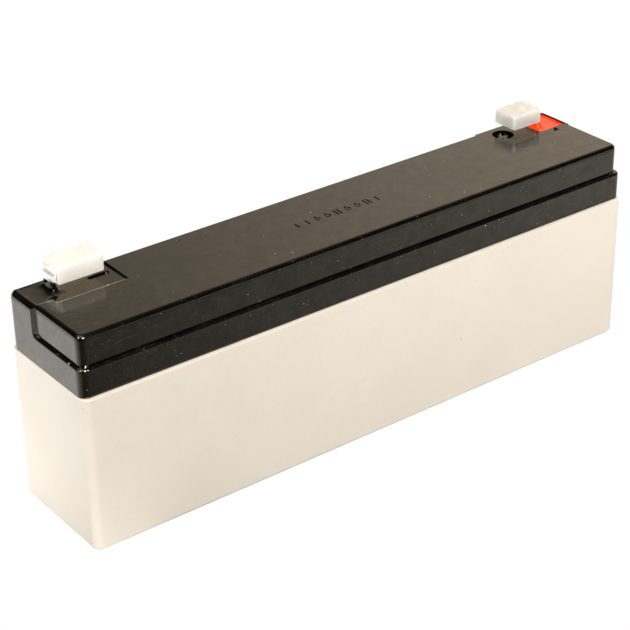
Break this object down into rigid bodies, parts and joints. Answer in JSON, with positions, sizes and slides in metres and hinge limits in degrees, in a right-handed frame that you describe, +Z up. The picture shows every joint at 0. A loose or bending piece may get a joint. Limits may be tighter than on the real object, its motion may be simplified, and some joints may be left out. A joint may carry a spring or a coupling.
{
  "type": "sealed lead-acid battery",
  "caption": "Slim rectangular sealed lead-acid battery with stepped lid, upright tab terminals bent inwards at each end, slip-on terminal covers and valve-regulated cells inside.",
  "frame": {"origin": "centre of the container's underside, on the surface it stands on", "axes": "+X along the length towards the positive terminal, +Y across the width towards the side that carries the terminals, +Z up"},
  "size_m": [0.178, 0.035, 0.0653],
  "materials": {
    "case_plastic": "warm cream moulded ABS, satin",
    "lid_plastic": "black moulded ABS, glossy with a soft top sheen",
    "adhesive": "cured epoxy bond line",
    "valve_rubber": "soft black rubber",
    "positive_paste": "porous lead dioxide paste on a cast grid",
    "negative_paste": "spongy grey lead paste on a cast grid",
    "glass_mat": "fine glass fibre mat, damp with acid",
    "lead": "cast lead, dull",
    "tinned_brass": "tin-plated brass strip",
    "black_resin": "cast epoxy, glossy black",
    "red_resin": "cast epoxy, glossy red",
    "clear_cover": "milky translucent polyethylene"
  },
  "bodies": {
    "case": {"container": "case_plastic", "lid": "lid_plastic", "vent_cover": "lid_plastic", "lid_adhesive": "adhesive", "positive_plates_1": "positive_paste", "negative_plates_1": "negative_paste", "separators_1": "glass_mat", "positive_strap_1": "lead", "negative_strap_1": "lead", "positive_plates_2": "positive_paste", "negative_plates_2": "negative_paste", "separators_2": "glass_mat", "positive_strap_2": "lead", "negative_strap_2": "lead", "positive_plates_3": "positive_paste", "negative_plates_3": "negative_paste", "separators_3": "glass_mat", "positive_strap_3": "lead", "negative_strap_3": "lead", "positive_plates_4": "positive_paste", "negative_plates_4": "negative_paste", "separators_4": "glass_mat", "positive_strap_4": "lead", "negative_strap_4": "lead", "positive_plates_5": "positive_paste", "negative_plates_5": "negative_paste", "separators_5": "glass_mat", "positive_strap_5": "lead", "negative_strap_5": "lead", "positive_plates_6": "positive_paste", "negative_plates_6": "negative_paste", "separators_6": "glass_mat", "positive_strap_6": "lead", "negative_strap_6": "lead", "intercell_weld_1": "lead", "intercell_weld_2": "lead", "intercell_weld_3": "lead", "intercell_weld_4": "lead", "intercell_weld_5": "lead", "negative_post": "lead", "negative_terminal": "tinned_brass", "negative_post_o_ring": "valve_rubber", "positive_post": "lead", "positive_terminal": "tinned_brass", "positive_post_o_ring": "valve_rubber", "negative_terminal_seal": "black_resin", "positive_terminal_seal": "red_resin"},
    "negative_cover": {"negative_terminal_cover": "clear_cover"},
    "positive_cover": {"positive_terminal_cover": "clear_cover"},
    "valve_1": {"valve_cap_1": "valve_rubber"},
    "valve_2": {"valve_cap_2": "valve_rubber"},
    "valve_3": {"valve_cap_3": "valve_rubber"},
    "valve_4": {"valve_cap_4": "valve_rubber"},
    "valve_5": {"valve_cap_5": "valve_rubber"},
    "valve_6": {"valve_cap_6": "valve_rubber"}
  },
  "joints": [
    {"name": "negative_cover_slide", "type": "slide", "parent": "case", "child": "negative_cover", "axis": [1, 0, 0], "range_m": [0, 0.012]},
    {"name": "positive_cover_slide", "type": "slide", "parent": "case", "child": "positive_cover", "axis": [-1, 0, 0], "range_m": [0, 0.012]},
    {"name": "valve_1_lift", "type": "slide", "parent": "case", "child": "valve_1", "axis": [0, 0, 1], "range_m": [0, 0.0004]},
    {"name": "valve_2_lift", "type": "slide", "parent": "case", "child": "valve_2", "axis": [0, 0, 1], "range_m": [0, 0.0004]},
    {"name": "valve_3_lift", "type": "slide", "parent": "case", "child": "valve_3", "axis": [0, 0, 1], "range_m": [0, 0.0004]},
    {"name": "valve_4_lift", "type": "slide", "parent": "case", "child": "valve_4", "axis": [0, 0, 1], "range_m": [0, 0.0004]},
    {"name": "valve_5_lift", "type": "slide", "parent": "case", "child": "valve_5", "axis": [0, 0, 1], "range_m": [0, 0.0004]},
    {"name": "valve_6_lift", "type": "slide", "parent": "case", "child": "valve_6", "axis": [0, 0, 1], "range_m": [0, 0.0004]}
  ]
}
